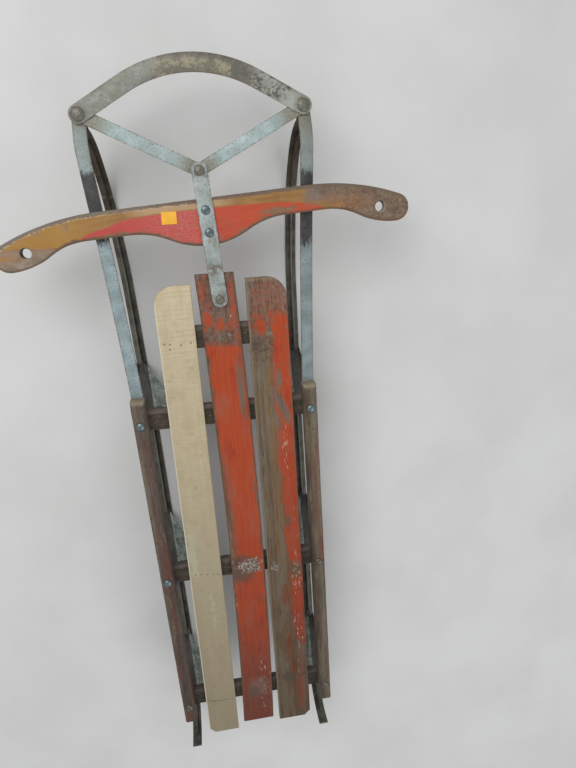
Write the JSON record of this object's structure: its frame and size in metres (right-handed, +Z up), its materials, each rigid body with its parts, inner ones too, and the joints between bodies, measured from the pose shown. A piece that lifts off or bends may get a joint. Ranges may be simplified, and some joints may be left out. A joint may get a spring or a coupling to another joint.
{
  "type": "wooden sled",
  "caption": "Weathered wooden sled with a slatted deck, side rails, steel runners on stamped knees, and a pivoting steering bar linked to a curved steel bumper.",
  "frame": {"origin": "on the floor, under the middle of the sled's overall box", "axes": "+X to the sled's right, +Y forward to the bumper, +Z up; the runners stand on z = 0"},
  "size_m": [0.6461, 1.3355, 0.1685],
  "materials": {
    "pale_slat": "new pale softwood, bare",
    "red_slat": "worn red paint over grey wood",
    "brown_slat": "weathered brown wood with rests of red paint",
    "bench_wood": "dark weathered wood",
    "rail_wood": "weathered brown wood, round-edged",
    "bar_paint": "worn red and ochre paint over grey-brown wood",
    "strap_paint": "worn silver paint with rust",
    "runner_paint": "worn grey-green paint with rust",
    "bolt_steel": "aged steel with rust"
  },
  "bodies": {
    "frame": {"slat_left": "pale_slat", "slat_centre": "red_slat", "slat_right": "brown_slat", "front_cleat": "bench_wood", "bench_front": "bench_wood", "bench_middle": "bench_wood", "bench_rear": "bench_wood", "rail_left": "rail_wood", "rail_right": "rail_wood", "side_strap_left": "strap_paint", "side_strap_right": "strap_paint", "runner_left": "runner_paint", "runner_right": "runner_paint", "knee_front_left": "runner_paint", "knee_front_right": "runner_paint", "knee_middle_left": "runner_paint", "knee_middle_right": "runner_paint", "knee_rear_left": "runner_paint", "knee_rear_right": "runner_paint", "rail_bolts": "bolt_steel", "pivot_rivet": "bolt_steel"},
    "steering": {"tiller_strap": "strap_paint", "steering_bar": "bar_paint", "bar_bolts": "bolt_steel"},
    "bumper": {"bumper": "strap_paint", "brace_left": "strap_paint", "brace_right": "strap_paint", "tip_rivets": "bolt_steel", "apex_rivet": "bolt_steel"}
  },
  "joints": [
    {"name": "steering_pivot", "type": "hinge", "parent": "frame", "child": "steering", "pos_m": [0.00723, 0.30977, 0.15], "axis": [0, 0, 1], "range_deg": [-13.7, 6.3], "stiffness_Nm_per_rad": 15},
    {"name": "bumper_shift", "type": "slide", "parent": "frame", "child": "bumper", "axis": [1, 0, 0], "range_m": [-0.0225, 0.048], "deforming": ["side_strap_left", "side_strap_right", "runner_left", "runner_right"]}
  ],
  "couplings": [
    {"joint": "bumper_shift", "follows": "steering_pivot", "m_per_rad": -0.2}
  ]
}
